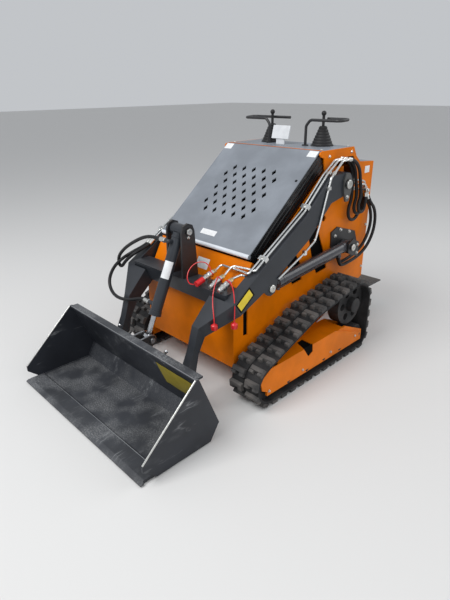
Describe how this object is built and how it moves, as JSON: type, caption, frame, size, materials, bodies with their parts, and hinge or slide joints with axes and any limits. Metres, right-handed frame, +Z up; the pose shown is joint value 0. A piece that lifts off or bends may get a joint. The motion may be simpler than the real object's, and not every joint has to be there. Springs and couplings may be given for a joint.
{
  "type": "mini stand-on track loader",
  "caption": "Compact stand-on loader on rubber tracks, with arms that lift, a bucket that tilts on a cylinder, a sloping hood that opens and a folding platform at the back",
  "frame": {"origin": "middle of the footprint on the ground, under the middle of the overall length", "axes": "+Z up, -Y forwards to the bucket, +X to the machine's left side"},
  "size_m": [1.136, 2.288, 1.378],
  "materials": {
    "body_paint": "satin orange paint on sheet steel",
    "arm_paint": "dark grey satin paint",
    "cover_paint": "grey satin paint on sheet steel",
    "bucket_paint": "worn dark paint with dust",
    "track_rubber": "dusty moulded rubber",
    "bare_steel": "bright polished rod",
    "black_parts": "black paint",
    "control_plastic": "black moulded plastic and rubber boots",
    "pale_label": "pale blank plastic panel",
    "pipe_zinc": "bright zinc-plated pipes and couplers",
    "hose_rubber": "black hydraulic hose",
    "cap_red": "red plastic dust cap"
  },
  "bodies": {
    "chassis": {"side_plate_left": "body_paint", "side_plate_right": "body_paint", "nose_panel": "body_paint", "belly_pan": "body_paint", "tail_panel": "body_paint", "deck_cover": "cover_paint", "engine_block": "black_parts", "arm_pivots": "arm_paint", "lift_brackets": "arm_paint", "track_left": "track_rubber", "track_right": "track_rubber", "track_rollers_left": "black_parts", "track_rollers_right": "black_parts", "drive_wheels": "black_parts", "drive_motors": "black_parts", "track_frames": "body_paint", "track_covers": "body_paint", "body_hoses": "hose_rubber", "step_brackets": "bucket_paint", "hood_hinge_pins": "arm_paint", "control_sticks": "control_plastic", "grip_loops": "control_plastic", "display_panel": "pale_label"},
    "hood": {"hood_cover": "cover_paint", "hood_skirts": "black_parts"},
    "lift_arms": {"arm_left": "arm_paint", "arm_right": "arm_paint", "arm_keepers": "arm_paint", "cross_tube": "arm_paint", "tilt_ears": "arm_paint", "arm_pipes": "pipe_zinc", "arm_hoses": "hose_rubber", "couplers": "pipe_zinc", "coupler_cap": "cap_red", "tilt_hoses": "hose_rubber"},
    "lift_cylinder_left": {"lift_barrel_left": "arm_paint"},
    "lift_cylinder_right": {"lift_barrel_right": "arm_paint"},
    "lift_piston_left": {"lift_rod_left": "bare_steel"},
    "lift_piston_right": {"lift_rod_right": "bare_steel"},
    "tilt_cylinder": {"tilt_barrel": "arm_paint"},
    "tilt_piston": {"tilt_rod": "bare_steel"},
    "bucket": {"attach_plate": "bucket_paint", "bucket_shell": "bucket_paint", "bucket_sides": "bucket_paint", "cutting_edge": "bucket_paint"},
    "platform": {"operator_step": "bucket_paint"}
  },
  "joints": [
    {"name": "arm_lift", "type": "hinge", "parent": "chassis", "child": "lift_arms", "pos_m": [0, 0.397, 1.014], "axis": [-1, 0, 0], "range_deg": [0, 85]},
    {"name": "bucket_tilt", "type": "hinge", "parent": "lift_arms", "child": "bucket", "pos_m": [0, -0.672, 0.158], "axis": [1, 0, 0], "range_deg": [-28, 115]},
    {"name": "lift_cylinder_swing_left", "type": "hinge", "parent": "chassis", "child": "lift_cylinder_left", "pos_m": [0.404, 0.496, 0.633], "axis": [-1, 0, 0], "range_deg": [0, 63.5]},
    {"name": "lift_cylinder_swing_right", "type": "hinge", "parent": "chassis", "child": "lift_cylinder_right", "pos_m": [-0.404, 0.496, 0.633], "axis": [-1, 0, 0], "range_deg": [0, 63.5]},
    {"name": "lift_rod_slide_left", "type": "slide", "parent": "lift_cylinder_left", "child": "lift_piston_left", "axis": [0, -0.9968, -0.0805], "range_m": [0, 0.409]},
    {"name": "lift_rod_slide_right", "type": "slide", "parent": "lift_cylinder_right", "child": "lift_piston_right", "axis": [0, -0.9968, -0.0805], "range_m": [0, 0.409]},
    {"name": "tilt_cylinder_swing", "type": "hinge", "parent": "lift_arms", "child": "tilt_cylinder", "pos_m": [0, -0.43, 0.843], "axis": [1, 0, 0], "range_deg": [-4.2, 1.2], "deforming": ["tilt_hoses"]},
    {"name": "tilt_rod_slide", "type": "slide", "parent": "tilt_cylinder", "child": "tilt_piston", "axis": [0, -0.4253, -0.9051], "range_m": [-0.063, 0.2585]},
    {"name": "hood_hinge", "type": "hinge", "parent": "chassis", "child": "hood", "pos_m": [0, 0.256, 1.174], "axis": [-1, 0, 0], "range_deg": [0, 60]},
    {"name": "platform_fold", "type": "hinge", "parent": "chassis", "child": "platform", "pos_m": [0, 0.83, 0.232], "axis": [1, 0, 0], "range_deg": [0, 85]}
  ],
  "couplings": [
    {"joint": "lift_cylinder_swing_left", "follows": "arm_lift", "ratio": 0.739},
    {"joint": "lift_cylinder_swing_right", "follows": "arm_lift", "ratio": 0.739},
    {"joint": "lift_rod_slide_left", "follows": "arm_lift", "m_per_rad": 0.2744},
    {"joint": "lift_rod_slide_right", "follows": "arm_lift", "m_per_rad": 0.2744},
    {"joint": "tilt_cylinder_swing", "follows": "bucket_tilt", "ratio": -0.035},
    {"joint": "tilt_rod_slide", "follows": "bucket_tilt", "m_per_rad": 0.1285}
  ]
}
